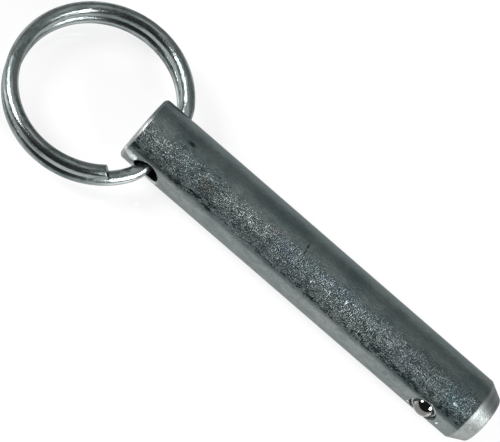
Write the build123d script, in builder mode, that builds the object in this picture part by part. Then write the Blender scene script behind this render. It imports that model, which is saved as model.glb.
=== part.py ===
from build123d import *
import os
from math import cos, hypot, radians, sin, sqrt, tan

# Hitch pin for a 1/2 in (12.7 mm) clevis: a turned pin with a pull ring through one end, and near
# the other a sprung ball that stops it backing out.
#
# Frame: +X runs along the pin, from the ring end to the tapered tip. +Z is up as the pin lies on
# a bench, and the ball looks out on the -Y side. The origin is on the pin's axis, midway between
# the ring hole and the ball, where the clevis sits. The ring lies behind the pin and droops a little.
# Lengths are in millimetres and angles in degrees.

os.makedirs("parts", exist_ok=True)

# ---- pin ---------------------------------------------------------------------------------------
SHANK_DIA = 12.7
HOLE_TO_BALL = 62.8  # along the pin, between the ring hole's axis and the ball's
HOLE_FROM_END = 5.4
BALL_FROM_TIP = 9.8
HEAD_CHAMFER = 0.35
TAPER_LENGTH = 3.1
TAPER_TIP_DIA = 9.5
TIP_EDGE_ROUND = 0.4

RING_HOLE_DIA = 5.1
RING_HOLE_BREAK = 0.4  # edge broken at both mouths
RING_HOLE_LEAN = 5.0  # the hole's axis climbs this much towards +Y, and the ring lies level

# ---- ball, its pocket and its spring -------------------------------------------------------------
BALL_DIA = 4.366  # 11/64 in
BALL_LEAN = 4.0  # the ball looks out this much above -Y
BALL_STANDS_OUT = 0.83
POCKET_DIA = 4.5
POCKET_FLOOR = -2.6  # heights in the pocket are measured from the pin's axis
DRILL_POINT = 118
LIP_ROOT, LIP_TOP = 5.25, 5.6  # between these heights the staked metal leans over the ball
LIP_DIA = 4.26
STAKE_DIA = 5.44  # the punch that pressed the lip over left a step this wide, flat at the lip's top

SPRING_WIRE = 0.5
SPRING_MEAN_DIA = 3.7
SPRING_TURNS = 6
SPRING_GAP = 0.03  # between the spring and what it bears on

# ---- split ring, with angles measured round it from the hole, towards +Y ---------------------------
WIRE_DIA = 2.6
RING_MEAN_DIA = 30.84
TURN_SPACING = 2.78  # between the wire centres of the two turns
RING_REACH = 15.0  # from the hole's axis to the ring's centre
RING_DROOP = 4.6  # below the pin's axis
TUCKED_END = 30  # the lower turn's end, beside the hole's +Y mouth
CROSSOVER_END = -31  # where the wire has come down from the upper turn, past the -Y mouth
CROSSOVER_HANDLE = 4  # how far the wire runs on along each turn before it bends across
CUT_END = -44.5  # the upper turn's end, in the open on the -Y side
SHEAR_RUN = 1.1  # how far the sheared end faces lean across the wire

# ---- what follows from them ------------------------------------------------------------------------
shank_radius = SHANK_DIA / 2
hole_x, ball_x = -HOLE_TO_BALL / 2, HOLE_TO_BALL / 2
end_x, tip_x = hole_x - HOLE_FROM_END, ball_x + BALL_FROM_TIP

lean = radians(RING_HOLE_LEAN)
hole_plane = Plane(origin=(hole_x, 0, 0), x_dir=(1, 0, 0), z_dir=(0, cos(lean), sin(lean)))

# half sections of the pocket are drawn here: x is the distance from its axis, y the height
rise = radians(BALL_LEAN)
pocket_plane = Plane(origin=(ball_x, 0, 0), x_dir=(1, 0, 0), z_dir=(0, -sin(rise), -cos(rise)))
pocket_axis = Axis(pocket_plane.origin, pocket_plane.y_dir)
ball_radius = BALL_DIA / 2
ball_height = shank_radius + BALL_STANDS_OUT - ball_radius
pocket_radius = POCKET_DIA / 2
point_slope = 1 / tan(radians(DRILL_POINT / 2))

wire_radius = WIRE_DIA / 2
ring_radius = RING_MEAN_DIA / 2
upper, lower = TURN_SPACING / 2, -TURN_SPACING / 2
droop = radians(RING_DROOP)
ring_plane = Plane(
    origin=(hole_x - RING_REACH * cos(droop), 0, -RING_REACH * sin(droop)),
    x_dir=(cos(droop), 0, sin(droop)),
    z_dir=(-sin(droop), 0, cos(droop)),
)

# ---- pin body: turned, cross-drilled, drilled for the ball, then staked round it ---------------------
with BuildPart() as pin_body:
    with BuildSketch(Plane.XZ):
        with BuildLine():
            Polyline(
                (end_x, 0),
                (end_x, shank_radius - HEAD_CHAMFER),
                (end_x + HEAD_CHAMFER, shank_radius),
                (tip_x - TAPER_LENGTH, shank_radius),
                (tip_x, TAPER_TIP_DIA / 2),
                (tip_x, 0),
                close=True,
            )
        make_face()
    revolve(axis=Axis.X)
    fillet(pin_body.edges().filter_by(GeomType.CIRCLE).sort_by(Axis.X)[-1], TIP_EDGE_ROUND)

    with BuildSketch(hole_plane):
        Circle(RING_HOLE_DIA / 2)
    extrude(amount=SHANK_DIA, both=True, mode=Mode.SUBTRACT)
    hole_wall = pin_body.faces().filter_by(GeomType.CYLINDER).sort_by(SortBy.AREA)[0]
    chamfer(hole_wall.edges().filter_by(GeomType.LINE, reverse=True), RING_HOLE_BREAK)

    with BuildSketch(pocket_plane):
        with BuildLine():
            Polyline(
                (0, POCKET_FLOOR - pocket_radius * point_slope),
                (pocket_radius, POCKET_FLOOR),
                (pocket_radius, LIP_ROOT),
                (LIP_DIA / 2, LIP_TOP),
                (STAKE_DIA / 2, LIP_TOP),
                (STAKE_DIA / 2, SHANK_DIA),
                (0, SHANK_DIA),
                close=True,
            )
        make_face()
    revolve(axis=pocket_axis, mode=Mode.SUBTRACT)

pin_body.part.label = "pin_body"
export_step(pin_body.part, "parts/pin_body.step")

# ---- detent ball -----------------------------------------------------------------------------------
with BuildPart() as detent_ball:
    with Locations(pocket_plane.from_local_coords((0, ball_height))):
        Sphere(ball_radius)

detent_ball.part.label = "detent_ball"
export_step(detent_ball.part, "parts/detent_ball.step")

# ---- detent spring, from the drill point's cone up to the ball's underside ----------------------------
coil_radius = SPRING_MEAN_DIA / 2
bearing = SPRING_WIRE / 2 + SPRING_GAP
spring_foot = POCKET_FLOOR - (pocket_radius - coil_radius) * point_slope + bearing * hypot(1, point_slope)
spring_head = ball_height - sqrt((ball_radius + bearing) ** 2 - coil_radius**2)
spring_height = spring_head - spring_foot

with BuildPart() as detent_spring:
    with BuildLine():
        coil = Helix(
            pitch=spring_height / SPRING_TURNS,
            height=spring_height,
            radius=coil_radius,
            center=pocket_plane.from_local_coords((0, spring_foot)),
            direction=pocket_plane.y_dir,
        )
    with BuildSketch(Plane(origin=coil @ 0, z_dir=coil % 0)):
        Circle(SPRING_WIRE / 2)
    sweep(path=coil, is_frenet=True)

detent_spring.part.label = "detent_spring"
export_step(detent_spring.part, "parts/detent_spring.step")


# ---- split ring --------------------------------------------------------------------------------------
def along_ring(angle, height, onward=0):
    """A point of the ring plane, at this angle on the turn of this height, then onward along its tangent."""
    a = radians(angle)
    return (ring_radius * cos(a) - onward * sin(a), ring_radius * sin(a) + onward * cos(a), height)


# From its tucked end the wire runs round the lower turn, climbs through the hole to the upper turn,
# and runs round that to its cut end.
with BuildPart() as split_ring:
    with BuildLine(ring_plane) as wire:
        lower_turn = CenterArc((0, 0, lower), ring_radius, TUCKED_END, 360 + CROSSOVER_END - TUCKED_END)
        upper_turn = CenterArc((0, 0, upper), ring_radius, TUCKED_END, 360 + CUT_END - TUCKED_END)
        Bezier(
            along_ring(CROSSOVER_END, lower),
            along_ring(CROSSOVER_END, lower, CROSSOVER_HANDLE),
            along_ring(TUCKED_END, upper, -CROSSOVER_HANDLE),
            along_ring(TUCKED_END, upper),
        )
    with BuildSketch(Plane(origin=lower_turn @ 0, z_dir=lower_turn % 0)):
        Circle(wire_radius)
    sweep(path=wire.line)

    # each end is sheared off on a slant: the face leans back towards the side away from the other turn
    for end, onward, away in (
        (upper_turn @ 1, upper_turn % 1, ring_plane.z_dir),
        (lower_turn @ 0, (lower_turn % 0) * -1, ring_plane.z_dir * -1),
    ):
        with BuildSketch(Plane(origin=end, x_dir=onward, z_dir=onward.cross(away))):
            with BuildLine():
                Polyline(
                    (SHEAR_RUN * 0.02, -wire_radius * 1.04),
                    (-SHEAR_RUN * 1.1, wire_radius * 1.2),
                    (SHEAR_RUN, wire_radius * 1.2),
                    (SHEAR_RUN, -wire_radius * 1.04),
                    close=True,
                )
            make_face()
        extrude(amount=WIRE_DIA, both=True, mode=Mode.SUBTRACT)

split_ring.part.label = "split_ring"
export_step(split_ring.part, "parts/split_ring.step")
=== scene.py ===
# %% [markdown]
# # A hitch pin on its pull ring
# The object is a zinc plated steel pin that holds a clevis together. A split ring runs through a
# cross hole at one end, and near the other a sprung ball stops the pin from backing out. The solid
# model comes first, as a fixed frame of named parts in metres. Everything below dresses that frame.

# %% The frame
from math import cos, hypot, radians, sin, sqrt, tan

import bmesh
import bpy
import numpy as np
from mathutils import Matrix, Vector


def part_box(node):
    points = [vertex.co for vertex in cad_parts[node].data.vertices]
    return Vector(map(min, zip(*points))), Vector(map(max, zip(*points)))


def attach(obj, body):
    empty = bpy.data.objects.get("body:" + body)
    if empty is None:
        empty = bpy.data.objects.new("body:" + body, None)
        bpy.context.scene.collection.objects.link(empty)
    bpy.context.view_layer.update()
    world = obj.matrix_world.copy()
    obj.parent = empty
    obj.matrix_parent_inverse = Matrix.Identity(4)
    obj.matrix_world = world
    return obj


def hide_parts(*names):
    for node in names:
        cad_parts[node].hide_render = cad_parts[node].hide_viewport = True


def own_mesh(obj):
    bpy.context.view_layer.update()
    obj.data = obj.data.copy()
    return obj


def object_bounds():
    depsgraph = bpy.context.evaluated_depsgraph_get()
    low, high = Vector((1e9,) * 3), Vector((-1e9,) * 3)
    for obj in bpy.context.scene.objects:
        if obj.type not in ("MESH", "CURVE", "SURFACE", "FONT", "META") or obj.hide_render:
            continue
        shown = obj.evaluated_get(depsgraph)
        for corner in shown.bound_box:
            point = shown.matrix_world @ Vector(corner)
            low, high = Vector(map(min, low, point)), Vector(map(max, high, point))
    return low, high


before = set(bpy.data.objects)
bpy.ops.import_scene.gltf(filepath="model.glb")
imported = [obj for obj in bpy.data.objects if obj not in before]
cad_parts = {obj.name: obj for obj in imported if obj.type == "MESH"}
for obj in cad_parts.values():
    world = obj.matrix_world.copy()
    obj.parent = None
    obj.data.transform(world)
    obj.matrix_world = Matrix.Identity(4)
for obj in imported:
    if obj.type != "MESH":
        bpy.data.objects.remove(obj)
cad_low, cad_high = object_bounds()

MM = 0.001
print("solid model, mm:", [round((h - l) / MM, 2) for l, h in zip(cad_low, cad_high)])

# %% [markdown]
# ## The camera
# The pin is looked at from above and a little from its ring end, through a long lens, and the
# camera is rolled so that the pin lies across the picture from corner to corner. The view direction
# is an azimuth and an elevation. The roll is measured from the pin's own direction in the picture.

# %% The camera
VIEW_AZIMUTH, VIEW_ELEVATION = radians(-6.63), radians(63.79)
VIEW_DISTANCE = 309.5 * MM
SENSOR_WIDTH, LENS = 36, 128.9
VIEW_ROLL = radians(40.889)
LOOK_AT = Vector((-12.152, -0.2275, -0.111)) * MM

towards_camera = Vector(
    (
        sin(VIEW_AZIMUTH) * cos(VIEW_ELEVATION),
        -cos(VIEW_AZIMUTH) * cos(VIEW_ELEVATION),
        sin(VIEW_ELEVATION),
    )
)
pin_seen = (Vector((1, 0, 0)) - towards_camera * towards_camera.x).normalized()
across_seen = towards_camera.cross(pin_seen)
right = pin_seen * cos(VIEW_ROLL) + across_seen * sin(VIEW_ROLL)
up = across_seen * cos(VIEW_ROLL) - pin_seen * sin(VIEW_ROLL)

camera = bpy.data.objects.new("camera", bpy.data.cameras.new("camera"))
bpy.context.scene.collection.objects.link(camera)
bpy.context.scene.camera = camera
camera.data.sensor_width = SENSOR_WIDTH
camera.data.lens = LENS
camera.data.clip_start = 0.01
camera.matrix_world = Matrix.Translation(LOOK_AT + towards_camera * VIEW_DISTANCE) @ Matrix(
    (right, up, towards_camera)
).transposed().to_4x4()
print("camera stands at, mm:", [round(c / MM, 1) for c in camera.matrix_world.translation])

# %% [markdown]
# ## Grids and meshes
# Every surface here is a grid: rows of points that follow one direction of the shape, and columns
# that follow the other. The next cell holds the few helpers that turn such grids into one closed
# mesh. Blender's bmesh welds the grids where their edges meet, and turns the faces outwards.


# %% Grids and meshes
def grid_faces(rows, columns, closed=False):
    """Four-cornered faces of a grid of points, numbered row by row. A closed grid joins its last
    column to its first."""
    row = np.arange(rows - 1)[:, None] * columns
    column = np.arange(columns if closed else columns - 1)[None, :]
    following = (column + 1) % columns
    return np.stack(
        [row + column, row + following, row + columns + following, row + columns + column], -1
    ).reshape(-1, 4)


def make_piece(name, sheets, straight=None, weld=1e-7):
    """One closed mesh from sheets, each a pair of an array of points and its faces.
    The points are in millimetres. Straight, if given, says where each point would be if the wire were
    pulled straight, and is kept as an attribute."""
    points, faces, first = [], [], 0
    for sheet, sheet_faces in sheets:
        points.append(np.reshape(sheet, (-1, 3)))
        faces.append(np.asarray(sheet_faces) + first)
        first += len(points[-1])
    mesh = bpy.data.meshes.new(name)
    mesh.from_pydata(np.concatenate(points) * MM, [], np.concatenate(faces))
    if straight is not None:
        kept = mesh.attributes.new("straight", "FLOAT_VECTOR", "POINT")
        kept.data.foreach_set("vector", np.ascontiguousarray(straight, np.float32).ravel())
    shell = bmesh.new()
    shell.from_mesh(mesh)
    bmesh.ops.remove_doubles(shell, verts=shell.verts, dist=weld)
    bmesh.ops.recalc_face_normals(shell, faces=shell.faces)
    open_edges = sum(not edge.is_manifold for edge in shell.edges)
    if shell.calc_volume(signed=True) < 0:
        bmesh.ops.reverse_faces(shell, faces=shell.faces)
    volume = shell.calc_volume(signed=True)
    shell.to_mesh(mesh)
    shell.free()
    mesh.shade_smooth()
    piece = bpy.data.objects.new(name, mesh)
    bpy.context.scene.collection.objects.link(piece)
    triangles = sum(len(face.vertices) - 2 for face in mesh.polygons)
    print(name, triangles, "triangles,", round(volume * 1e9, 1), "mm3,", open_edges, "open edges")
    return piece


# %% [markdown]
# ## The pin's profile
# The pin was turned from bar: a faced end with a narrow chamfer, a plain shank, and a tapered tip
# whose edge is rolled over. Its outline is a polyline whose corners are rounded, because no real
# edge is sharp, and a rounded edge is what catches the light.

# %% The pin's profile
SHANK_R = 6.35
HOLE_X, BALL_X = -31.4, 31.4
END_X, TIP_X = HOLE_X - 5.4, BALL_X + 9.8
TAPER_X, TAPER_TIP_R = TIP_X - 3.1, 4.75
ANGLES = 240
STEP = 2 * np.pi / ANGLES


def rounded(corners, radii, steps=6):
    """A polyline with its inner corners rounded. Each corner is replaced by a parabola that leaves
    one side and meets the other the same distance from it."""
    corners = np.array(corners, float)
    points = [corners[:1]]
    for before, corner, after, radius in zip(corners, corners[1:], corners[2:], radii):
        back = (before - corner) / np.linalg.norm(before - corner)
        on = (after - corner) / np.linalg.norm(after - corner)
        half = np.arccos(np.clip(back @ on, -1, 1)) / 2
        reach = radius / np.tan(half)
        u = np.linspace(0, 1, steps)[:, None]
        points.append(
            (1 - u) ** 2 * (corner + reach * back) + 2 * u * (1 - u) * corner + u**2 * (corner + reach * on)
        )
    points.append(corners[-1:])
    return np.concatenate(points)


def subdivided(profile, longest):
    """The same polyline with points added evenly, so that no run is longer than this."""
    pieces = [
        np.linspace(a, b, max(2, int(np.ceil(np.linalg.norm(b - a) / longest)) + 1))[:-1]
        for a, b in zip(profile, profile[1:])
    ]
    return np.concatenate([*pieces, profile[-1:]])


def spaced(start, stop, longest):
    """Positions from start up to but not including stop, evenly spaced and no further apart than
    longest."""
    return np.linspace(start, stop, int(np.ceil((stop - start) / longest)) + 1)[:-1]


head_profile = rounded(
    [(END_X, 0), (END_X, SHANK_R - 0.5), (END_X + 0.5, SHANK_R), (END_X + 1.1, SHANK_R)], [0.6, 0.7], 9
)
tip_profile = rounded(
    [(TAPER_X - 0.5, SHANK_R), (TAPER_X, SHANK_R), (TIP_X, TAPER_TIP_R), (TIP_X, 0)], [0.5, 0.4], 9
)
print("profile points", len(head_profile), len(tip_profile))

# %% [markdown]
# ## The pin's skin and its holes
# Two holes break into the shank: the ring hole, right through and leaning five degrees, and the
# ball's pocket, whose mouth a ring punch pressed down. A boolean cut would leave ragged triangles
# at each mouth. Instead a block of the skin's grid is left out, and a patch fills it whose rows
# shrink from the block's square rim to the round mouth. The same columns then run on over the rim
# and down the wall, so the whole hole is one smooth grid.

# %% The pin's skin and its holes
HOLE_LEAN, BALL_LEAN = radians(5), radians(4)
HOLE_R, HOLE_BREAK = 2.55, 0.39
POCKET_R, POCKET_FLOOR, LIP_ROOT, LIP_TOP, LIP_R, STAKE_R = 2.25, -2.6, 5.25, 5.6, 2.13, 2.70
POINT_SLOPE = 1 / tan(radians(59))
HOLE_BLOCK = (3.45, 20, 21)  # half length in mm, half length and half width in grid steps
BALL_BLOCK = (3.2, 11, 19)


def block_rim(block):
    """Offsets from a block's centre to the grid points round its rim: along the pin in mm, and
    round it in radians."""
    half, a, b = block
    along = np.concatenate([np.full(2 * b, a), np.arange(a, -a, -1), np.full(2 * b, -a), np.arange(-a, a)])
    round_ = np.concatenate([np.arange(-b, b), np.full(2 * a, b), np.arange(b, -b, -1), np.full(2 * a, -b)])
    return along * half / a, round_ * STEP


def mouth_rows(block, reach, rows):
    """Distances and directions from the hole's axis for a patch whose rows shrink from the block's
    rim to a circle of radius reach."""
    along, turned = block_rim(block)
    sideways = SHANK_R * np.sin(turned)
    distance, direction = np.hypot(along, sideways), np.arctan2(sideways, along)
    share = (np.linspace(1, 0, rows) ** 1.3)[:, None]
    return reach + (distance - reach) * share, direction


def surface_height(distance, direction):
    """Height of the shank's surface above a plane through its axis, at this place in that plane:
    the circle's equation."""
    return np.sqrt(SHANK_R**2 - (distance * np.sin(direction)) ** 2)


def placed(distance, direction, height, centre_x, angle, side=1):
    """Points of the pin from a distance and direction round a hole's axis and a height along it.
    Side -1 is the far mouth."""
    axis = np.array([0, np.cos(angle), np.sin(angle)]) * side
    across = np.array([0, -np.sin(angle), np.cos(angle)])
    x = centre_x + distance * np.cos(direction)
    sideways = distance * np.sin(direction)
    return x[..., None] * np.array([1.0, 0, 0]) + sideways[..., None] * across + height[..., None] * axis


def ring_hole_half(side):
    """Half of the ring hole: a patch of skin, the broken edge, and the wall down to the middle."""
    patch, direction = mouth_rows(HOLE_BLOCK, HOLE_R + HOLE_BREAK, 9)
    edge = rounded([(0.06, 0), (0, 0), (-HOLE_BREAK, -HOLE_BREAK), (-HOLE_BREAK, -0.6)], [0.06, 0.06], 4)[1:]
    rim = HOLE_R + HOLE_BREAK + edge[:, :1] + 0 * direction
    rim_height = surface_height(rim, direction) + edge[:, 1:]
    wall = np.full((10, len(direction)), HOLE_R)
    wall_height = rim_height[-1] * np.linspace(1, 0, 11)[1:, None]
    distance = np.concatenate([patch, rim, wall])
    height = np.concatenate([surface_height(patch, direction), rim_height, wall_height])
    points = placed(distance, direction + 0 * distance, height, HOLE_X, HOLE_LEAN, side)
    return points, grid_faces(*distance.shape, closed=True)


def ball_pocket():
    """The ball's pocket: a patch of skin, the punched step and its floor, the lip, the wall, and
    the drill point."""
    patch, direction = mouth_rows(BALL_BLOCK, STAKE_R + 0.12, 9)
    turn = np.linspace(0, np.pi / 2, 6)[1:, None]
    rim = STAKE_R + 0.12 * (1 - np.sin(turn)) + 0 * direction
    rim_height = surface_height(rim, direction) - 0.12 * (1 - np.cos(turn))
    inner = subdivided(
        rounded(
            [
                (STAKE_R - 0.03, LIP_TOP + 0.02),
                (STAKE_R - 0.09, LIP_TOP - 0.22),
                (LIP_R + 0.39, LIP_TOP - 0.16),
                (LIP_R + 0.3, LIP_TOP + 0.09),
                (LIP_R + 0.07, LIP_TOP + 0.11),
                (LIP_R, LIP_TOP - 0.04),
                (POCKET_R, LIP_ROOT),
                (POCKET_R, POCKET_FLOOR),
                (0, POCKET_FLOOR - POCKET_R * POINT_SLOPE),
            ],
            [0.07, 0.08, 0.08, 0.06, 0.05, 0.05, 0.05],
            5,
        ),
        0.6,
    )[1:]
    distance = np.concatenate([patch, rim, inner[:, :1] + 0 * direction])
    height = np.concatenate([surface_height(patch, direction), rim_height, inner[:, 1:] + 0 * direction])
    points = placed(distance, direction + 0 * distance, height, BALL_X, np.pi - BALL_LEAN)
    return points, grid_faces(*distance.shape, closed=True)


# each mark: place along the pin, angle up from -Y, its two half sizes along and round the pin, and its depth
MARKS = [
    (-28.45, 95.0, 0.5, 0.33, 0.13),
    (-27.9, 94.0, 0.3, 0.2, 0.07),
    (-2.05, 91.5, 0.13, 0.75, 0.07),
    (-1.98, 81.5, 0.12, 0.7, 0.06),
]
SCRATCH_ROWS = (-2.6, -1.4)


def knocked(points):
    """The skin with its knocks pressed in: each lowers the surface by its depth times e to the
    minus square of the distance, in half sizes."""
    x, upward = points[..., 0], np.arctan2(points[..., 2], -points[..., 1])
    down = np.zeros(x.shape)
    for at, angle, half_along, half_round, depth in MARKS:
        apart = SHANK_R * np.angle(np.exp(1j * (upward - radians(angle))))
        down += depth * np.exp(-(((x - at) / half_along) ** 2) - (apart / half_round) ** 2)
    return points * np.stack([np.ones_like(down), 1 - down / SHANK_R, 1 - down / SHANK_R], -1)


def skin():
    """The turned surface: each profile point carried round the pin's axis, with the faces of three
    blocks left out."""
    x_rows = np.concatenate(
        [
            spaced(head_profile[-1, 0], HOLE_X - HOLE_BLOCK[0], 0.4),
            spaced(HOLE_X - HOLE_BLOCK[0], HOLE_X + HOLE_BLOCK[0], HOLE_BLOCK[0] / HOLE_BLOCK[1] + 1e-9),
            spaced(HOLE_X + HOLE_BLOCK[0], SCRATCH_ROWS[0], 0.4),
            spaced(*SCRATCH_ROWS, 0.09),
            spaced(SCRATCH_ROWS[1], BALL_X - BALL_BLOCK[0], 0.4),
            spaced(BALL_X - BALL_BLOCK[0], BALL_X + BALL_BLOCK[0], BALL_BLOCK[0] / BALL_BLOCK[1] + 1e-9),
            spaced(BALL_X + BALL_BLOCK[0], tip_profile[0, 0], 0.4),
        ]
    )
    shank = np.stack([x_rows, np.full(len(x_rows), SHANK_R)], -1)
    head = subdivided(head_profile, 0.5)[:-1]
    profile = np.concatenate([head, shank, subdivided(tip_profile, 0.35)])
    angles = HOLE_LEAN + STEP * np.arange(ANGLES)
    points = np.stack(
        [
            profile[:, :1] + 0 * angles,
            profile[:, 1:] * np.cos(angles),
            profile[:, 1:] * np.sin(angles),
        ],
        -1,
    )
    points = knocked(points)
    faces = grid_faces(*points.shape[:2], closed=True)
    middle_x = (profile[:-1, 0] + profile[1:, 0])[:, None] / 2 + 0 * angles
    middle_angle = angles + STEP / 2 + 0 * middle_x
    kept = np.ones(middle_x.shape, bool)
    for centre_x, angle, block in (
        (HOLE_X, HOLE_LEAN, HOLE_BLOCK),
        (HOLE_X, HOLE_LEAN + np.pi, HOLE_BLOCK),
        (BALL_X, np.pi - BALL_LEAN, BALL_BLOCK),
    ):
        away = np.angle(np.exp(1j * (middle_angle - angle)))
        kept &= (abs(middle_x - centre_x) > block[0]) | (abs(away) > block[2] * STEP)
    return points, faces[kept.ravel()]


pin = make_piece("turned_pin", [skin(), ring_hole_half(1), ring_hole_half(-1), ball_pocket()])

# %% [markdown]
# ## The pull ring
# The ring is one length of round wire wound twice round. From its tucked end it runs round the
# lower turn, climbs through the pin's hole, and runs round the upper turn to a sheared end that
# stands in the open. A circle carried along that path gives the surface. Each point also keeps
# where it would be if the wire were pulled straight, so that draw marks can follow the wire.

# %% The wire's path
WIRE_R = 1.3
RING_R = 15.42
TURN_SPACING = 2.78
RING_REACH, RING_DROOP = 15.0, radians(4.6)
TUCKED_END, CROSSOVER_END, CUT_END = radians(30), radians(-31), radians(-45.3)
CROSSOVER_HANDLE = 4.0
SHEAR = 1.1
LOWER, UPPER = -TURN_SPACING / 2, TURN_SPACING / 2


def on_turn(angle, height):
    """Points of the ring's own plane: a circle's, at these angles and this height."""
    angle = np.atleast_1d(angle)
    return np.stack([RING_R * np.cos(angle), RING_R * np.sin(angle), np.full(len(angle), height)], -1)


def crossover(steps):
    """The climb between the turns: a cubic Bezier curve that leaves one turn and joins the other
    along their tangents."""
    start, stop = on_turn(CROSSOVER_END, LOWER)[0], on_turn(TUCKED_END, UPPER)[0]
    onward = lambda angle: np.array([-np.sin(angle), np.cos(angle), 0]) * CROSSOVER_HANDLE
    u = np.linspace(0, 1, steps)[:, None]
    return (
        (1 - u) ** 3 * start
        + 3 * u * (1 - u) ** 2 * (start + onward(CROSSOVER_END))
        + 3 * u**2 * (1 - u) * (stop - onward(TUCKED_END))
        + u**3 * stop
    )


def evenly(path, spacing):
    """The path with its points moved along it to equal distances, by interpolating each coordinate
    over the length run."""
    run = np.concatenate([[0], np.cumsum(np.linalg.norm(np.diff(path, axis=0), axis=1))])
    stations = np.linspace(0, run[-1], int(round(run[-1] / spacing)) + 1)
    return np.stack([np.interp(stations, run, path[:, k]) for k in range(3)], -1), stations


whole_turn = 2 * np.pi
ring_path, ring_run = evenly(
    np.concatenate(
        [
            on_turn(np.linspace(TUCKED_END, whole_turn + CROSSOVER_END, 1200), LOWER),
            crossover(300)[1:-1],
            on_turn(np.linspace(TUCKED_END, whole_turn + CUT_END, 1200), UPPER),
        ]
    ),
    0.4,
)
print("wire length, mm:", round(ring_run[-1], 1), "in", len(ring_run), "stations")


# %% The wire's surface
def tube(path, radius, columns, upright):
    """Points of a tube: at each station a circle in the plane square to the path, measured round from
    the upright direction. Returns the points, the tangents, and how far each point stands along the
    upright direction."""
    tangent = np.gradient(path, axis=0)
    tangent /= np.linalg.norm(tangent, axis=1)[:, None]
    normal = upright - (tangent @ upright)[:, None] * tangent
    normal /= np.linalg.norm(normal, axis=1)[:, None]
    side = np.cross(tangent, normal)
    angle = np.arange(columns) * 2 * np.pi / columns
    points = (
        path[:, None]
        + radius * np.cos(angle)[None, :, None] * normal[:, None]
        + radius * np.sin(angle)[None, :, None] * side[:, None]
    )
    return points, tangent, radius * np.cos(angle)


CAP_RINGS = (0.97, 0.9, 0.75, 0.5, 0.25, 0.0)


def capped(rows, shrink=CAP_RINGS):
    """The tube's rows with each end closed: rings that shrink to the middle of the end section."""
    first, last = rows[0], rows[-1]
    near = [first.mean(0) + (first - first.mean(0)) * s for s in shrink]
    far = [last.mean(0) + (last - last.mean(0)) * s for s in shrink]
    return np.concatenate([near[::-1], rows, far])


def pulled_straight(run, radius, columns, shrink=CAP_RINGS):
    """Where the tube's points would be on a straight wire: how far along it, and the same circle
    round it. The rings of each end shrink as in capped."""
    angle = np.arange(columns) * 2 * np.pi / columns
    along = np.concatenate([np.full(len(shrink), run[0]), run, np.full(len(shrink), run[-1])])
    size = radius * np.concatenate([shrink[::-1], np.ones(len(run)), shrink])
    circle = np.stack([0 * angle, np.cos(angle), np.sin(angle)], -1)
    return circle * size[:, None, None] + along[:, None, None] * np.array([1.0, 0, 0])


WIRE_COLUMNS = 40
rows, tangent, stands = tube(ring_path, WIRE_R, WIRE_COLUMNS, np.array([0, 0, 1.0]))
near_cut = np.clip(1 - (ring_run[-1] - ring_run) / 3, 0, 1)[:, None]
near_tuck = np.clip(1 - ring_run / 3, 0, 1)[:, None]
lean_back = SHEAR * (stands + WIRE_R) / (2 * WIRE_R)
lean_tuck = SHEAR * (WIRE_R - stands) / (2 * WIRE_R)
rows = rows - (near_cut * lean_back - near_tuck * lean_tuck)[..., None] * tangent[:, None]
ring_rows = capped(rows)

ring_to_part = np.array(
    [
        [cos(RING_DROOP), 0, -sin(RING_DROOP)],
        [0, 1, 0],
        [sin(RING_DROOP), 0, cos(RING_DROOP)],
    ]
)
ring_centre = np.array([HOLE_X - RING_REACH * cos(RING_DROOP), 0, -RING_REACH * sin(RING_DROOP)])
ring_points = ring_rows @ ring_to_part.T + ring_centre
ring = make_piece(
    "pull_ring",
    [(ring_points, grid_faces(*ring_points.shape[:2], closed=True))],
    pulled_straight(ring_run, WIRE_R, WIRE_COLUMNS),
)

# %% [markdown]
# ## The ball
# A hardened steel ball looks out of the pocket. A sphere made of rings would pinch at its poles,
# and one pole would face the viewer, so it is a cube whose six sides are grids pushed out to the
# sphere's surface: each point is divided by its distance from the centre.

# %% The ball
BALL_R, BALL_STANDS_OUT = 2.183, 0.83
BALL_HEIGHT = SHANK_R + BALL_STANDS_OUT - BALL_R
ball_axis = np.array([0, -cos(BALL_LEAN), sin(BALL_LEAN)])
ball_centre = np.array([BALL_X, 0, 0]) + ball_axis * BALL_HEIGHT


def cube_ball(centre, radius, steps):
    """Six grids on a sphere. A side's two parameters are angles, so that its squares stay nearly
    even."""
    u, v = np.meshgrid(*[np.tan(np.linspace(-np.pi / 4, np.pi / 4, steps))] * 2, indexing="ij")
    side = np.stack([u, v, np.ones_like(u)], -1)
    side /= np.linalg.norm(side, axis=-1)[..., None]
    sheets = []
    for axis in range(3):
        for sign in (-1, 1):
            sheets.append((centre + radius * sign * np.roll(side, axis, -1), grid_faces(steps, steps)))
    return sheets


ball = make_piece("steel_ball", cube_ball(ball_centre, BALL_R, 33))

# %% [markdown]
# ## The spring
# Behind the ball a small coil spring stands on the drill point. It is out of sight, but the piece is
# whole: the same tube carried along a helix.

# %% The spring
SPRING_WIRE_R, SPRING_R, SPRING_TURNS, SPRING_GAP = 0.25, 1.85, 6, 0.03
bearing = SPRING_WIRE_R + SPRING_GAP
spring_foot = POCKET_FLOOR - (POCKET_R - SPRING_R) * POINT_SLOPE + bearing * hypot(1, POINT_SLOPE)
spring_head = BALL_HEIGHT - sqrt((BALL_R + bearing) ** 2 - SPRING_R**2)
turned = np.linspace(0, SPRING_TURNS * 2 * np.pi, SPRING_TURNS * 40 + 1)
across_pocket = np.cross(ball_axis, [1.0, 0, 0])
helix = (
    np.array([BALL_X, 0, 0])
    + SPRING_R * np.cos(turned)[:, None] * np.array([1.0, 0, 0])
    + SPRING_R * np.sin(turned)[:, None] * across_pocket
    + (spring_foot + (spring_head - spring_foot) * turned / turned[-1])[:, None] * ball_axis
)
coil_rows, _, _ = tube(helix, SPRING_WIRE_R, 14, ball_axis)
coil_rows = capped(coil_rows, (0.8, 0.0))
coil_run = turned * hypot(SPRING_R, (spring_head - spring_foot) / turned[-1])
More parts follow.
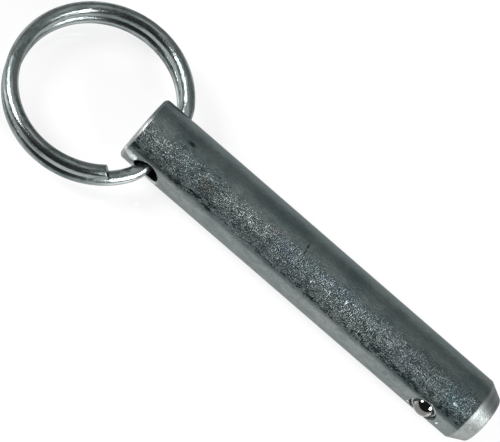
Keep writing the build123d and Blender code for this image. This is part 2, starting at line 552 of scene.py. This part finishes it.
spring = make_piece(
    "coil_spring",
    [(coil_rows, grid_faces(*coil_rows.shape[:2], closed=True))],
    pulled_straight(coil_run, SPRING_WIRE_R, 14, (0.8, 0.0)),
)
print("spring stands, mm:", round(spring_foot, 3), "to", round(spring_head, 3))

# %% [markdown]
# ## Who rides on what
# Each piece stands for the solid it covers and moves with that solid's body, and the solid itself
# is hidden.

# %% Who rides on what
for piece, body, node, finish in (
    (pin, "pin", "pin_body", "zinc_steel"),
    (ring, "ring", "split_ring", "zinc_wire"),
    (ball, "ball", "detent_ball", "polished_steel"),
    (spring, "pin", "detent_spring", "spring_steel"),
):
    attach(piece, body)
    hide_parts(node)
    low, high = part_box(node)
    mine = np.array([vertex.co for vertex in piece.data.vertices])
    gap = max(abs(mine.min(0) - low).max(), abs(mine.max(0) - high).max()) / MM
    print(piece.name, "differs from its solid's box by up to", round(float(gap), 3), "mm")

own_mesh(spring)

# %% [markdown]
# ## Building materials
# A material is a small graph of nodes. The helper below adds one node, sets what is given, and links
# whatever is another node's output, so that each finish reads as a recipe. Effects that several
# finishes share are node groups: built once here, and used with each finish's own values.


# %% Building materials
def add_node(tree, kind, options=None, **inputs):
    """Adds a node. Options are its own settings. Inputs are sockets by name, or _0, _1 by place,
    and a socket given as a value is linked."""
    made = tree.nodes.new(kind)
    for name, value in (options or {}).items():
        setattr(made, name, value)
    for name, value in inputs.items():
        socket = made.inputs[int(name[1:])] if name[0] == "_" else made.inputs[name.replace("_", " ")]
        if isinstance(value, bpy.types.NodeSocket):
            tree.links.new(value, socket)
        else:
            socket.default_value = value
    return made


def calc(tree, operation, a, b=0.0, c=0.0):
    """One sum in a graph: an operation on two or three values, each a number or a socket."""
    return add_node(tree, "ShaderNodeMath", {"operation": operation}, _0=a, _1=b, _2=c).outputs[0]


def product(tree, *factors):
    """Two or more values multiplied together."""
    result = factors[0]
    for factor in factors[1:]:
        result = calc(tree, "MULTIPLY", result, factor)
    return result


def ramp(tree, value, low, high, to_low=0.0, to_high=1.0):
    """Carries a value from one range to another smoothly, and holds it at the ends."""
    options = {"interpolation_type": "SMOOTHSTEP"}
    return add_node(
        tree, "ShaderNodeMapRange", options, _0=value, _1=low, _2=high, _3=to_low, _4=to_high
    ).outputs[0]


def mixed(tree, share, a, b):
    """A colour between two others."""
    made = add_node(tree, "ShaderNodeMix", {"data_type": "RGBA"}, _0=share, _6=a, _7=b)
    return made.outputs[2]


def new_group(name, takes, gives):
    """A node group with named inputs and outputs. A number makes a value input, and anything else a
    vector."""
    tree = bpy.data.node_groups.new(name, "ShaderNodeTree")
    for socket, default in takes.items():
        kind = "NodeSocketFloat" if isinstance(default, float) else "NodeSocketVector"
        made = tree.interface.new_socket(name=socket, in_out="INPUT", socket_type=kind)
        if isinstance(default, float):
            made.default_value = default
    for socket, kind in gives.items():
        tree.interface.new_socket(name=socket, in_out="OUTPUT", socket_type=kind)
    return tree, tree.nodes.new("NodeGroupInput").outputs, tree.nodes.new("NodeGroupOutput").inputs


def use_group(tree, group, **inputs):
    """Places a group in a material's graph."""
    return add_node(tree, "ShaderNodeGroup", {"node_tree": group}, **inputs).outputs


def new_material(name):
    """An empty material, its graph, its shader, and its points in millimetres on the object's own
    coordinates."""
    material = bpy.data.materials.new(name)
    material.use_nodes = True
    tree = material.node_tree
    shader = tree.nodes["Principled BSDF"]
    place = add_node(tree, "ShaderNodeTexCoord").outputs["Object"]
    millimetres = add_node(tree, "ShaderNodeVectorMath", {"operation": "SCALE"}, _0=place, Scale=1000.0)
    return material, tree, shader, millimetres.outputs[0]


def add_bump(tree, shader, height):
    """Tips the shading by a height in millimetres."""
    bump = add_node(tree, "ShaderNodeBump", None, Strength=1.0, Distance=MM, Height=height)
    tree.links.new(bump.outputs[0], shader.inputs["Normal"])


# %% [markdown]
# ## Grain of a plated surface
# Zinc plating over pickled steel isn't smooth: fine pits and crystals, about a quarter of a
# millimetre across, tip the surface this way and that, so it glitters where a lamp is near and stays
# calm where it mirrors something even. Old draw and grinding marks cross it both ways. The height is
# one even noise and two stretched ones, and where it is low the pits hold dirt. A wider noise makes
# the pits come in clumps.

# %% Grain of a plated surface
grain, takes, gives = new_group(
    "plated_grain",
    {"Point": None, "Size": 0.3, "Dirt": 0.3},
    {"Height": "NodeSocketFloat", "Pits": "NodeSocketFloat", "Clouds": "NodeSocketFloat"},
)
per_mm = calc(grain, "DIVIDE", 1.0, takes["Size"])


def stretched_noise(tree, point, scale, stretch, detail=1.5):
    """Noise on coordinates that are divided by a stretch each way, so that its grains are that much
    longer there."""
    squeezed = add_node(tree, "ShaderNodeVectorMath", {"operation": "DIVIDE"}, _0=point, _1=stretch)
    return add_node(
        tree, "ShaderNodeTexNoise", None, Vector=squeezed.outputs[0], Scale=scale, Detail=detail
    ).outputs[0]


crystals = stretched_noise(grain, takes["Point"], per_mm, (1, 1, 1))
along = stretched_noise(grain, takes["Point"], per_mm, (4.5, 0.8, 0.8))
across = stretched_noise(grain, takes["Point"], per_mm, (0.8, 3.5, 3.5))
clumps = stretched_noise(grain, takes["Point"], calc(grain, "MULTIPLY", per_mm, 0.22), (1.6, 1, 1), 3.0)
both = calc(grain, "ADD", calc(grain, "MULTIPLY", along, 0.5), calc(grain, "MULTIPLY", across, 0.28))
uneven = calc(grain, "MULTIPLY_ADD", crystals, 0.42, both)
grain.links.new(uneven, gives["Height"])
low = calc(grain, "SUBTRACT", 0.65, uneven)
low = calc(grain, "MULTIPLY_ADD", calc(grain, "SUBTRACT", clumps, 0.5), 0.52, low)
grain.links.new(calc(grain, "MULTIPLY", ramp(grain, low, 0.0, 0.13), takes["Dirt"]), gives["Pits"])
clouds = add_node(grain, "ShaderNodeTexNoise", None, Vector=takes["Point"], Scale=0.16, Detail=3.0)
grain.links.new(ramp(grain, clouds.outputs[0], 0.3, 0.7), gives["Clouds"])

# %% [markdown]
# ## Draw marks and tool marks
# Bar and wire are drawn through a die, which leaves faint lines along them: noise on coordinates
# squeezed along the length. Turning leaves fine rings instead: noise that reads only how far a point
# is along the axis and how far out from it.

# %% Draw marks and tool marks
drawn, takes, gives = new_group(
    "drawn_lines", {"Point": None, "Length": 12.0, "Width": 0.35}, {"Lines": "NodeSocketFloat"}
)
parts = add_node(drawn, "ShaderNodeSeparateXYZ", None, _0=takes["Point"]).outputs
squeezed = add_node(
    drawn,
    "ShaderNodeCombineXYZ",
    None,
    _0=calc(drawn, "DIVIDE", parts[0], takes["Length"]),
    _1=calc(drawn, "DIVIDE", parts[1], takes["Width"]),
    _2=calc(drawn, "DIVIDE", parts[2], takes["Width"]),
)
lines = add_node(drawn, "ShaderNodeTexNoise", None, Vector=squeezed.outputs[0], Scale=1.0, Detail=2.0)
drawn.links.new(lines.outputs[0], gives["Lines"])

turned_rings, takes, gives = new_group(
    "turned_rings", {"Point": None, "Spacing": 0.2}, {"Rings": "NodeSocketFloat", "Radius": "NodeSocketFloat"}
)
parts = add_node(turned_rings, "ShaderNodeSeparateXYZ", None, _0=takes["Point"]).outputs
squares = calc(turned_rings, "MULTIPLY_ADD", parts[1], parts[1], product(turned_rings, parts[2], parts[2]))
out = calc(turned_rings, "SQRT", squares)
flat = add_node(turned_rings, "ShaderNodeCombineXYZ", None, _0=parts[0], _1=out)
rings = add_node(
    turned_rings,
    "ShaderNodeTexNoise",
    {"noise_dimensions": "2D"},
    Vector=flat.outputs[0],
    Scale=calc(turned_rings, "DIVIDE", 1.0, takes["Spacing"]),
    Detail=2.0,
)
turned_rings.links.new(rings.outputs[0], gives["Rings"])
turned_rings.links.new(out, gives["Radius"])

# %% [markdown]
# ## Patches: stains and scratches
# A stain, a knock or a scratch is a patch with a place and three half sizes. The group measures how
# far a point is from the centre in those half sizes, ruffles it with noise, and fades from one
# inside to nothing outside.

# %% Patches
patch, takes, gives = new_group(
    "patch", {"Point": None, "Centre": None, "Half_Sizes": None, "Ragged": 0.5}, {"Mask": "NodeSocketFloat"}
)
offset = add_node(
    patch, "ShaderNodeVectorMath", {"operation": "SUBTRACT"}, _0=takes["Point"], _1=takes["Centre"]
)
scaled = add_node(
    patch, "ShaderNodeVectorMath", {"operation": "DIVIDE"}, _0=offset.outputs[0], _1=takes["Half_Sizes"]
)
away = add_node(patch, "ShaderNodeVectorMath", {"operation": "LENGTH"}, _0=scaled.outputs[0])
ruffle = add_node(patch, "ShaderNodeTexNoise", None, Vector=takes["Point"], Scale=1.3, Detail=3.0)
ragged = calc(patch, "MULTIPLY", calc(patch, "SUBTRACT", ruffle.outputs[0], 0.5), takes["Ragged"])
patch.links.new(ramp(patch, calc(patch, "ADD", away.outputs["Value"], ragged), 1.0, 0.3), gives["Mask"])


def patch_mask(tree, point, x, angle, half_sizes, ragged=0.5, radius=SHANK_R):
    """The mask of one patch on the shank, at x along it and this angle up from -Y round it."""
    made = tree.nodes.new("ShaderNodeGroup")
    made.node_tree = patch
    tree.links.new(point, made.inputs["Point"])
    made.inputs["Centre"].default_value = (x, -radius * cos(radians(angle)), radius * sin(radians(angle)))
    made.inputs["Half_Sizes"].default_value = half_sizes
    made.inputs["Ragged"].default_value = ragged
    return made.outputs[0]


# %% [markdown]
# ## Zinc on the pin: where a point is
# Thin clear-passivated zinc is a cool grey metal, coarser on one side of this pin than on the rest.
# Where a shade belongs is told by how far a point is along the pin, and by its angle round it, up from
# -Y. Two things need care. The angle jumps from 180 to -180 degrees along the back, so every shade has
# to be the same on both sides there, or a straight seam shows. And on a flat end all angles meet at
# the middle, like slices of a pie, so the ends read only how far out a point is.

# %% Where a point is on the pin
zinc, tree, shader, point = new_material("zinc_on_turned_steel")
fine = use_group(tree, grain, Point=point, Size=0.23, Dirt=0.85)
lines = use_group(tree, drawn, Point=point)["Lines"]
rings = use_group(tree, turned_rings, Point=point, Spacing=0.22)
along, outward, upward = add_node(tree, "ShaderNodeSeparateXYZ", None, _0=point).outputs
facing = calc(tree, "ARCTAN2", upward, calc(tree, "MULTIPLY", outward, -1.0))
BACK = (-145, -100)  # between these angles every shade passes into that of the back


def round_pin(start, stop, to_start=0.0, to_stop=1.0, angle=facing):
    """A fade between two angles round the pin, in degrees."""
    return ramp(tree, angle, radians(start), radians(stop), to_start, to_stop)


clear_of_back = round_pin(*BACK)
at_back = calc(tree, "SUBTRACT", 1.0, clear_of_back)
on_taper = ramp(tree, along, TAPER_X - 0.12, TAPER_X + 0.05)
on_head = ramp(tree, along, END_X + 0.72, END_X + 0.52)
machined = calc(tree, "MAXIMUM", on_taper, on_head)
plain = calc(tree, "SUBTRACT", 1.0, machined)
at_an_end = calc(
    tree,
    "MAXIMUM",
    ramp(tree, along, END_X + 0.2, END_X + 0.02),
    ramp(tree, along, TIP_X - 0.15, TIP_X - 0.02),
)
on_face = calc(tree, "MULTIPLY", at_an_end, ramp(tree, rings["Radius"], 5.8, 5.0))
print("shades near the back pass over between", BACK, "degrees")

# %% The coarse side
wander = calc(tree, "SUBTRACT", fine["Clouds"], 0.5)
coarse_side = calc(
    tree,
    "MULTIPLY",
    round_pin(100, 68, angle=calc(tree, "MULTIPLY_ADD", wander, 0.16, facing)),
    round_pin(26.5, 30.5, angle=calc(tree, "MULTIPLY_ADD", wander, 0.05, facing)),
)
coarse_side = calc(tree, "MULTIPLY", coarse_side, calc(tree, "SUBTRACT", 1.0, on_face))
fair = calc(tree, "MULTIPLY_ADD", upward, 0.02, 0.25)
coarse_side = calc(tree, "MULTIPLY_ADD", coarse_side, calc(tree, "SUBTRACT", 1.0, fair), fair)

# %% [markdown]
# ## Zinc on the pin: its shades
# Plating is never one colour, and it drifts in clouds. Over that lie painted shade and painted light:
# painted shade just below the coarse band and over the back, and painted light on the plain strip below.
# The upper band is darker towards the tip, and the band's edge darker towards the ends. A shade is laid
# over the last one wherever its mask says, so the order matters, as it does with paint.

# %% The shank's shades
colour = mixed(tree, fine["Clouds"], (0.178, 0.220, 0.224, 1), (0.262, 0.296, 0.293, 1))
# Painted shade: darker just below the coarse band, standing in for the shaded floor mirrored there.
painted_shade_below_grain = product(tree, round_pin(18, 26), round_pin(36, 28))
colour = mixed(tree, product(tree, painted_shade_below_grain, 0.6), colour, (0.10, 0.118, 0.12, 1))
# Painted shade: the back of the pin is darker, where it mirrors floor lying in shade.
painted_shade_on_back = calc(tree, "MAXIMUM", round_pin(105, 140), at_back)
colour = mixed(tree, painted_shade_on_back, colour, (0.150, 0.178, 0.180, 1))
# Painted light: the plain strip low on the near side is lighter, as if lit by the white floor it mirrors.
painted_light_on_strip = product(tree, round_pin(27, 21), round_pin(-70, -35))
colour = mixed(tree, product(tree, painted_light_on_strip, 0.4), colour, (0.318, 0.332, 0.330, 1))
# The upper band is darker towards the tip.
darker_towards_tip = product(tree, round_pin(55, 66), round_pin(100, 82), ramp(tree, along, 11.0, 28.0))
colour = mixed(tree, product(tree, darker_towards_tip, 0.6), colour, (0.088, 0.102, 0.102, 1))
towards_ends = calc(tree, "MAXIMUM", ramp(tree, along, -21.0, -27.0), ramp(tree, along, 18.0, 26.0))
band_edge = product(tree, round_pin(22, 28), round_pin(41, 34))
colour = mixed(tree, product(tree, band_edge, towards_ends, 0.5), colour, (0.05, 0.06, 0.062, 1))

# %% The taper, the head's edge, the end faces and the hole
# Painted light and shade on the taper: lighter on its lower side, darker on its top and back. The turned
# rings laid over it are real tool marks.
TAPER_PAINTED_SHADE, TAPER_PAINTED_LIGHT = (0.165, 0.186, 0.184, 1), (0.285, 0.31, 0.306, 1)
taper_painted_light_and_rings = mixed(tree, product(tree, round_pin(105, 75), clear_of_back), TAPER_PAINTED_SHADE, TAPER_PAINTED_LIGHT)
ring_marks = ramp(tree, rings["Rings"], 0.42, 0.6, 0.0, 0.35)
taper_painted_light_and_rings = mixed(tree, ring_marks, taper_painted_light_and_rings, (0.42, 0.44, 0.43, 1))
colour = mixed(tree, on_taper, colour, taper_painted_light_and_rings)
# Painted highlight: the head's rounded edge is near-white, brightest on its lower side where the lamp's strip
# falls.
head_edge_painted_highlight = calc(tree, "MINIMUM", round_pin(92, 62, 0.1, 1.0), round_pin(*BACK, 0.1, 1.0))
colour = mixed(tree, product(tree, on_head, head_edge_painted_highlight), colour, (0.44, 0.46, 0.455, 1))
# The mottled patch on the taper's lower side is real roughness in the bump, and painted light in its lighter
# colour.
mottled = patch_mask(tree, point, 39.6, 14, (3.0, 2.6, 2.6), 1.6, radius=5.6)
mottled_taper_painted_light = product(tree, mottled, product(tree, on_taper, 0.7))
colour = mixed(tree, mottled_taper_painted_light, colour, (0.4, 0.42, 0.41, 1))
faced = mixed(tree, ramp(tree, rings["Rings"], 0.4, 0.62), (0.225, 0.25, 0.247, 1), (0.33, 0.352, 0.348, 1))
faced = mixed(tree, product(tree, fine["Clouds"], 0.4), faced, (0.19, 0.215, 0.215, 1))
colour = mixed(tree, on_face, colour, faced)
in_hole = patch_mask(tree, point, HOLE_X, 90, (4.0, 6.6, 4.0), 0.0, radius=0)
colour = mixed(tree, in_hole, colour, (0.26, 0.42, 0.46, 1))

# %% [markdown]
# ## Zinc on the pin: stains, pits and knocks
# Each row places one patch: millimetres along the pin, degrees round it, three half sizes, and for a
# stain its strength and colour. The pits come between the stains and the knocks, and are deepest low
# on the coarse side and towards the ends.

# %% Stains
for x, angle, half_sizes, strength, stain in (
    (-22.0, 60, (2.4, 2.2, 2.2), 0.5, (0.150, 0.143, 0.118, 1)),
    (-4.5, 66, (3.6, 1.3, 1.3), 0.5, (0.150, 0.180, 0.250, 1)),
    (-7.7, 75, (0.9, 0.6, 0.6), 0.35, (0.290, 0.190, 0.230, 1)),
    (6.4, 70, (6.5, 1.5, 1.5), 0.4, (0.140, 0.205, 0.260, 1)),
    (22.5, 52, (5.0, 1.8, 1.8), 0.25, (0.210, 0.200, 0.260, 1)),
    (34.5, 58, (3.6, 2.6, 2.6), 0.4, (0.120, 0.205, 0.240, 1)),
    (36.3, 124, (1.6, 0.8, 0.8), 0.5, (0.240, 0.215, 0.120, 1)),
    (-9.0, 230, (7.0, 3.0, 3.0), 0.35, (0.150, 0.190, 0.240, 1)),
    (17.0, 300, (5.0, 2.6, 2.6), 0.3, (0.200, 0.180, 0.140, 1)),
):
    mask = product(tree, patch_mask(tree, point, x, angle, half_sizes, 2.4), strength)
    colour = mixed(tree, mask, colour, stain)

# %% Pits and knocks
SHALLOW, DEEP = 0.58, 1.1
deeper = round_pin(52, 36, SHALLOW, DEEP)
deeper = calc(tree, "MINIMUM", deeper, round_pin(*BACK, SHALLOW, DEEP))
middle = product(tree, ramp(tree, along, -21.0, -15.0), ramp(tree, along, 15.0, 6.0))
middle = product(tree, middle, calc(tree, "MAXIMUM", round_pin(33, 40), at_back))
deeper = product(tree, deeper, calc(tree, "MULTIPLY_ADD", middle, -0.28, 1.0))
pits = product(tree, fine["Pits"], coarse_side, product(tree, plain, deeper))
colour = mixed(tree, pits, colour, (0.010, 0.024, 0.028, 1))
for x, angle, half_sizes in (
    (-28.4, 95.2, (1.15, 0.62, 0.6)),
    (-2.08, 92.0, (0.32, 1.0, 0.6)),
    (-1.93, 80.5, (0.24, 1.1, 0.6)),
    (31.6, 50.5, (1.6, 0.07, 0.07)),
    (32.6, 48.5, (1.2, 0.06, 0.06)),
):
    mask = product(tree, patch_mask(tree, point, x, angle, half_sizes, 0.8), 0.85)
    colour = mixed(tree, mask, colour, (0.015, 0.018, 0.02, 1))

# %% [markdown]
# ## Zinc on the pin: rubbed bright, with a painted reflection and a painted glint
# The ring rubs the edge of its hole, the punch burnished the lip round the ball, and a few spots were
# knocked bare. There the metal is nearly white. The same near-white also paints light: a painted
# reflection of the ring's wire beside the hole's mouth, and a painted glint near the ball. The hole's
# and the pocket's edges are found by how far a point is from their axes.


# %% Where the plating is rubbed bright, with a painted reflection and a painted glint
def gathered(operation, places, ragged):
    """One mask from many patches, each a place along the pin, an angle round it and half sizes."""
    total = 0.0
    for x, angle, half_sizes in places:
        total = calc(tree, operation, total, patch_mask(tree, point, x, angle, half_sizes, ragged))
    return total


def off_axis(at, lean):
    """How far a point is from a hole's axis: the root of the sum of two squares, along the pin and
    square to both."""
    rise = calc(tree, "MULTIPLY_ADD", upward, cos(lean), product(tree, outward, -sin(lean)))
    aside = calc(tree, "SUBTRACT", along, at)
    return calc(tree, "SQRT", calc(tree, "MULTIPLY_ADD", aside, aside, product(tree, rise, rise)))


# The first three patches, beside the hole's mouth, are a painted reflection of the ring's wire, and the last,
# near the ball, is a painted glint. The rest are scores and burrs rubbed bare.
rubbed_and_painted_light = gathered(
    "MAXIMUM",
    (
        (-36.3, 15.0, (0.85, 0.62, 0.62)),
        (-35.6, 13.0, (1.0, 0.8, 0.8)),
        (-34.6, 10.5, (1.25, 0.95, 1.0)),
        (28.75, -6.0, (0.35, 0.6, 0.45)),
        (34.9, 2.0, (0.3, 0.5, 0.55)),
        (5.8, 57.9, (0.09, 0.7, 0.7)),
        (9.0, 63.2, (0.11, 0.42, 0.42)),
        (2.1, 53.0, (0.1, 0.4, 0.4)),
        (-12.4, 59.0, (0.09, 0.4, 0.4)),
        (34.6, 55.0, (0.5, 0.35, 0.35)),
    ),
    0.5,
)
rubbed_and_painted_light = ramp(tree, rubbed_and_painted_light, 0.05, 0.5)
from_hole = off_axis(HOLE_X, HOLE_LEAN)
on_edge = product(tree, ramp(tree, from_hole, 2.57, 2.64), ramp(tree, from_hole, 3.0, 2.93))
rubbed_and_painted_light = calc(tree, "MAXIMUM", rubbed_and_painted_light, product(tree, on_edge, 0.4))
from_ball = off_axis(BALL_X, -BALL_LEAN)
on_lip = product(tree, ramp(tree, from_ball, 2.52, 2.45), ramp(tree, outward, -3.0, -4.0))
rubbed_and_painted_light = calc(tree, "MAXIMUM", rubbed_and_painted_light, product(tree, on_lip, 0.6))
# Near-white over rubbed wear, the painted reflection beside the hole and the painted glint near the ball.
colour = mixed(tree, product(tree, rubbed_and_painted_light, 0.85), colour, (0.86, 0.87, 0.86, 1))
tree.links.new(colour, shader.inputs["Base Color"])

# %% The pin's bump and gloss
scores = gathered(
    "ADD",
    (
        (5.8, 58, (0.12, 0.6, 0.6)),
        (9.0, 63, (0.14, 0.5, 0.5)),
        (2.2, 54, (0.1, 0.35, 0.35)),
        (-12.4, 59, (0.1, 0.4, 0.4)),
        (13.2, 53, (0.35, 0.12, 0.12)),
        (34.6, 55, (0.45, 0.3, 0.3)),
        (33.0, 59, (0.3, 0.25, 0.25)),
    ),
    0.3,
)
amount = product(tree, coarse_side, calc(tree, "MULTIPLY_ADD", plain, 0.75, 0.25))
amount = calc(tree, "MULTIPLY_ADD", product(tree, mottled, on_taper), 0.6, amount)
height = product(tree, fine["Height"], product(tree, amount, 0.25))
height = calc(tree, "MULTIPLY_ADD", lines, 0.003, height)
height = calc(tree, "MULTIPLY_ADD", product(tree, rings["Rings"], machined), 0.09, height)
height = calc(tree, "MULTIPLY_ADD", scores, -0.05, height)
add_bump(tree, shader, height)
rough = ramp(tree, lines, 0.3, 0.7, 0.24, 0.31)
rough = calc(tree, "MULTIPLY_ADD", coarse_side, 0.09, rough)
rough = calc(tree, "MULTIPLY_ADD", machined, 0.12, rough)
tree.links.new(rough, shader.inputs["Roughness"])
shader.inputs["Metallic"].default_value = 1.0
shader.inputs["Specular Tint"].default_value = (0.58, 0.6, 0.6, 1)
pin.data.materials.append(zinc)

# %% [markdown]
# ## Zinc on the ring's wire
# The ring wears the same zinc, but over drawn spring wire: long faint lines follow the wire, and the
# plating is mottled and pitted between them. The lines come from noise on the wire's own straight
# coordinates, so they bend with it.

# %% Zinc on the ring's wire
wire_zinc, tree, shader, point = new_material("zinc_on_drawn_wire")
straight = add_node(tree, "ShaderNodeAttribute", {"attribute_name": "straight"}).outputs["Vector"]
fine = use_group(tree, grain, Point=straight, Size=0.2, Dirt=0.55)
lines = use_group(tree, drawn, Point=straight, Length=14.0, Width=0.3)["Lines"]
bands = use_group(tree, drawn, Point=straight, Length=9.0, Width=1.1)["Lines"]
colour = mixed(tree, ramp(tree, bands, 0.35, 0.65), (0.235, 0.275, 0.275, 1), (0.375, 0.41, 0.405, 1))
dull = ramp(tree, bands, 0.6, 0.4)
pits = product(tree, fine["Pits"], calc(tree, "MULTIPLY_ADD", dull, 0.6, 0.3))
colour = mixed(tree, pits, colour, (0.03, 0.045, 0.045, 1))
tree.links.new(colour, shader.inputs["Base Color"])
height = calc(tree, "MULTIPLY", fine["Height"], calc(tree, "MULTIPLY_ADD", dull, 0.05, 0.025))
height = calc(tree, "MULTIPLY_ADD", lines, 0.025, height)
add_bump(tree, shader, height)
tree.links.new(ramp(tree, bands, 0.35, 0.65, 0.3, 0.2), shader.inputs["Roughness"])
shader.inputs["Metallic"].default_value = 1.0
shader.inputs["Specular Tint"].default_value = (0.7, 0.72, 0.72, 1)
ring.data.materials.append(wire_zinc)

# %% [markdown]
# ## Bearing steel and spring steel
# The ball is hard chrome steel, lapped to a mirror, and only hairline scuffs from going in and out
# show on it. The spring is plain drawn wire with faint lines, a little brown from its heat.

# %% Bearing steel and spring steel
polish, tree, shader, point = new_material("polished_bearing_steel")
scuffs = stretched_noise(tree, point, 2.2, (2.4, 0.12, 0.8), 3.0)
smears = add_node(tree, "ShaderNodeTexNoise", None, Vector=point, Scale=0.9, Detail=2.0).outputs[0]
scuffed = ramp(tree, scuffs, 0.6, 0.75)
colour = mixed(tree, ramp(tree, smears, 0.35, 0.65), (0.200, 0.200, 0.186, 1), (0.245, 0.245, 0.235, 1))
colour = mixed(tree, product(tree, scuffed, 0.3), colour, (0.12, 0.118, 0.11, 1))
tree.links.new(colour, shader.inputs["Base Color"])
tree.links.new(calc(tree, "MULTIPLY_ADD", scuffed, 0.12, 0.05), shader.inputs["Roughness"])
add_bump(tree, shader, product(tree, scuffed, -0.0015))
shader.inputs["Metallic"].default_value = 1.0
ball.data.materials.append(polish)

spring_finish, tree, shader, point = new_material("spring_steel_wire")
straight = add_node(tree, "ShaderNodeAttribute", {"attribute_name": "straight"}).outputs["Vector"]
lines = use_group(tree, drawn, Point=straight, Length=5.0, Width=0.09)["Lines"]
colour = mixed(tree, ramp(tree, lines, 0.3, 0.7), (0.23, 0.215, 0.195, 1), (0.33, 0.32, 0.31, 1))
tree.links.new(colour, shader.inputs["Base Color"])
tree.links.new(ramp(tree, lines, 0.3, 0.7, 0.36, 0.24), shader.inputs["Roughness"])
add_bump(tree, shader, product(tree, lines, 0.006))
shader.inputs["Metallic"].default_value = 1.0
spring.data.materials.append(spring_finish)

# %% [markdown]
# ## Floor and light
# The pin lies on a white sheet between two soft lamps, one beyond each end, in a dark room with a
# dim soft light overhead. The sheet looks plain white to the camera and in the metal, and still
# darkens where the pin shades it.

# %% Floor and light
floor_height = cad_low.z
floor_mesh = bpy.data.meshes.new("floor")
FLOOR_REACH = 2
corners = ((-1, -1), (1, -1), (1, 1), (-1, 1))
floor_mesh.from_pydata(
    [(x * FLOOR_REACH, y * FLOOR_REACH, floor_height) for x, y in corners], [], [(0, 1, 2, 3)]
)
floor = bpy.data.objects.new("floor", floor_mesh)
bpy.context.scene.collection.objects.link(floor)

paper, tree, shader, point = new_material("white_sheet")
seen = add_node(tree, "ShaderNodeLightPath").outputs
mirrored = calc(tree, "MAXIMUM", seen["Is Glossy Ray"], seen["Is Transmission Ray"])
direct = calc(tree, "MAXIMUM", seen["Is Camera Ray"], mirrored)
shade = mixed(tree, direct, (0.9, 0.9, 0.9, 1), (0.225, 0.225, 0.225, 1))
tree.links.new(shade, shader.inputs["Base Color"])
tree.links.new(calc(tree, "MULTIPLY", direct, 0.78), shader.inputs["Emission Strength"])
shader.inputs["Emission Color"].default_value = (1, 1, 1, 1)
shader.inputs["Roughness"].default_value = 0.08
floor_mesh.materials.append(paper)


def soft_lamp(name, azimuth, elevation, distance, size, radiance):
    """A soft lamp that faces the pin: a disc of one size across, or a panel of two. Its power is
    what gives its area this radiance: pi times area times radiance."""
    away = Vector((sin(azimuth) * cos(elevation), -cos(azimuth) * cos(elevation), sin(elevation)))
    light = bpy.data.lights.new(name, "AREA")
    light.shape = "DISK" if len(size) == 1 else "RECTANGLE"
    light.size = size[0]
    if len(size) == 2:
        light.size_y = size[1]
    area = np.pi * size[0] ** 2 / 4 if len(size) == 1 else size[0] * size[1]
    light.energy = np.pi * area * radiance
    lamp = bpy.data.objects.new(name, light)
    bpy.context.scene.collection.objects.link(lamp)
    turn = away.to_track_quat("Z", "Y").to_matrix()
    lamp.matrix_world = Matrix.Translation(away * distance) @ turn.to_4x4()
    print(name, "gives", round(light.energy, 2), "W")
    return lamp


soft_lamp("ring_end_lamp", radians(-75), radians(36), 0.8, (0.34,), 19.0)
soft_lamp("tip_end_lamp", radians(73), radians(32), 0.8, (0.40,), 16.0)
soft_lamp("overhead_panel", radians(180), radians(77), 1.0, (1.6, 0.5), 0.55)

world = bpy.data.worlds.new("dark_room")
bpy.context.scene.world = world
world.use_nodes = True
tree = world.node_tree
direction = add_node(tree, "ShaderNodeTexCoord").outputs["Generated"]
backwards = add_node(tree, "ShaderNodeSeparateXYZ", None, _0=direction).outputs[1]
room = mixed(tree, ramp(tree, backwards, -0.1, 0.5), (0.035, 0.038, 0.038, 1), (0.235, 0.25, 0.25, 1))
tree.links.new(room, tree.nodes["Background"].inputs["Color"])
bpy.context.scene.view_settings.view_transform = "Standard"
